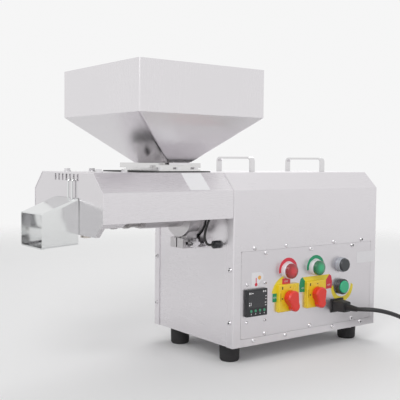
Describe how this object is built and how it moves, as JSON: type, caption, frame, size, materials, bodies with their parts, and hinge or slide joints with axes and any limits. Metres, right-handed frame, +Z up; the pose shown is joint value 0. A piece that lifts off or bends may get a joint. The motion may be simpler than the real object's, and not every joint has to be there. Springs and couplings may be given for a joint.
{
  "type": "screw oil press",
  "caption": "Stainless electric screw oil press: square funnel hopper with slide gate on an arm, heated pressing head, cake chute, and a geared motor cabinet with side controls.",
  "frame": {"origin": "on the floor under the middle of the machine's box, its lead left out", "axes": "+Z up, +X from the cake chute towards the rear of the cabinet, +Y from the control panel side across the cabinet"},
  "size_m": [0.9014, 0.4755, 0.5155],
  "materials": {
    "stainless": "brushed stainless sheet",
    "polished_steel": "polished stainless",
    "machined_steel": "machined steel",
    "painted_grey": "grey powder coat",
    "cast_aluminium": "as-cast aluminium",
    "black_rubber": "matt black rubber",
    "black_plastic": "black moulding",
    "white_plastic": "pale collar",
    "grey_plastic": "pale grey ring",
    "red_lens": "ribbed red lens",
    "green_lens": "ribbed green lens",
    "green_plastic": "green push cap",
    "yellow_plastic": "yellow switch plate",
    "red_plastic": "red knob",
    "key_plastic": "pale green key",
    "heater_steel": "band heater jacket",
    "black_cord": "black flexible sheath"
  },
  "bodies": {
    "frame": {"arm_bolts": "polished_steel", "arm_cover": "stainless", "arm_end_plate": "stainless", "ball_bearings": "machined_steel", "base_pan": "stainless", "black_button_collar": "grey_plastic", "cable_gland": "black_plastic", "carry_handles": "polished_steel", "clamp_housing": "machined_steel", "control_panel": "stainless", "drive_bracket": "painted_grey", "fan_cowl": "painted_grey", "feed_chamber": "machined_steel", "frame_bolts": "polished_steel", "front_plate": "stainless", "gate_guide": "stainless", "gearbox_case": "cast_aluminium", "gearbox_cover": "cast_aluminium", "green_button_collar": "black_plastic", "green_lamp_lens": "green_lens", "guide_bolts": "polished_steel", "head_bracket": "stainless", "heater_band": "heater_steel", "heater_cable": "black_cord", "hopper": "stainless", "housing_cover": "stainless", "housing_screws": "polished_steel", "lamp_collars": "white_plastic", "mains_connector": "black_cord", "mains_cord": "black_cord", "mains_cord_coil": "black_cord", "mains_inlet": "black_plastic", "motor_housing": "cast_aluminium", "nozzle_head": "machined_steel", "panel_frame": "stainless", "press_cage": "machined_steel", "rear_plate": "stainless", "red_lamp_lens": "red_lens", "rubber_feet": "black_rubber", "switch_plates": "yellow_plastic", "temperature_controller": "black_plastic", "top_gasket": "black_rubber", "wall_plug": "black_cord"},
    "screw": {"press_screw": "machined_steel", "output_shaft": "machined_steel"},
    "lay_gears": {"layshaft": "machined_steel"},
    "motor": {"motor_rotor": "machined_steel", "cooling_fan": "black_plastic"},
    "gate": {"slide_gate": "polished_steel"},
    "chute": {"cake_chute": "polished_steel"},
    "heat_knob": {"heat_switch_knob": "red_plastic"},
    "press_knob": {"press_switch_knob": "red_plastic"},
    "black_button": {"black_button_cap": "black_plastic"},
    "green_button": {"green_button_cap": "green_plastic"},
    "clamp_knob": {"clamp_bolt": "polished_steel"},
    "choke": {"choke_nut": "machined_steel"},
    "key_1": {"controller_key_1": "key_plastic"},
    "key_2": {"controller_key_2": "key_plastic"},
    "key_3": {"controller_key_3": "key_plastic"},
    "key_4": {"controller_key_4": "key_plastic"}
  },
  "joints": [
    {"name": "screw_spin", "type": "hinge", "parent": "frame", "child": "screw", "pos_m": [-0.0286, 0.00845, 0.2615], "axis": [1, 0, 0], "continuous": true},
    {"name": "lay_gears_spin", "type": "hinge", "parent": "frame", "child": "lay_gears", "pos_m": [0.0314, 0.00845, 0.1915], "axis": [1, 0, 0], "continuous": true},
    {"name": "motor_spin", "type": "hinge", "parent": "frame", "child": "motor", "pos_m": [0.1214, 0.00845, 0.2615], "axis": [1, 0, 0], "continuous": true},
    {"name": "gate_slide", "type": "slide", "parent": "frame", "child": "gate", "axis": [-1, 0, 0], "range_m": [0, 0.08]},
    {"name": "chute_lift", "type": "slide", "parent": "frame", "child": "chute", "axis": [0, 0, 1], "range_m": [0, 0.006]},
    {"name": "heat_switch_turn", "type": "hinge", "parent": "frame", "child": "heat_knob", "pos_m": [0.0974, -0.11505, 0.111], "axis": [0, 1, 0], "range_deg": [-45, 45]},
    {"name": "press_switch_turn", "type": "hinge", "parent": "frame", "child": "press_knob", "pos_m": [0.1677, -0.11505, 0.111], "axis": [0, 1, 0], "range_deg": [-45, 45]},
    {"name": "black_button_press", "type": "slide", "parent": "frame", "child": "black_button", "axis": [0, 1, 0], "range_m": [0, 0.003], "stiffness_N_per_m": 400},
    {"name": "green_button_press", "type": "slide", "parent": "frame", "child": "green_button", "axis": [0, 1, 0], "range_m": [0, 0.003], "stiffness_N_per_m": 400},
    {"name": "key_1_press", "type": "slide", "parent": "frame", "child": "key_1", "axis": [0, 1, 0], "range_m": [0, 0.0006], "stiffness_N_per_m": 100},
    {"name": "key_2_press", "type": "slide", "parent": "frame", "child": "key_2", "axis": [0, 1, 0], "range_m": [0, 0.0006], "stiffness_N_per_m": 100},
    {"name": "key_3_press", "type": "slide", "parent": "frame", "child": "key_3", "axis": [0, 1, 0], "range_m": [0, 0.0006], "stiffness_N_per_m": 100},
    {"name": "key_4_press", "type": "slide", "parent": "frame", "child": "key_4", "axis": [0, 1, 0], "range_m": [0, 0.0006], "stiffness_N_per_m": 100},
    {"name": "clamp_knob_turn", "type": "hinge", "parent": "frame", "child": "clamp_knob", "pos_m": [-0.0406, -0.11505, 0.2085], "axis": [0, 1, 0], "continuous": true},
    {"name": "choke_turn", "type": "hinge", "parent": "frame", "child": "choke", "pos_m": [-0.2646, 0.00845, 0.2615], "axis": [1, 0, 0], "continuous": true}
  ],
  "couplings": [
    {"joint": "lay_gears_spin", "follows": "screw_spin", "ratio": -4},
    {"joint": "motor_spin", "follows": "screw_spin", "ratio": 16}
  ]
}
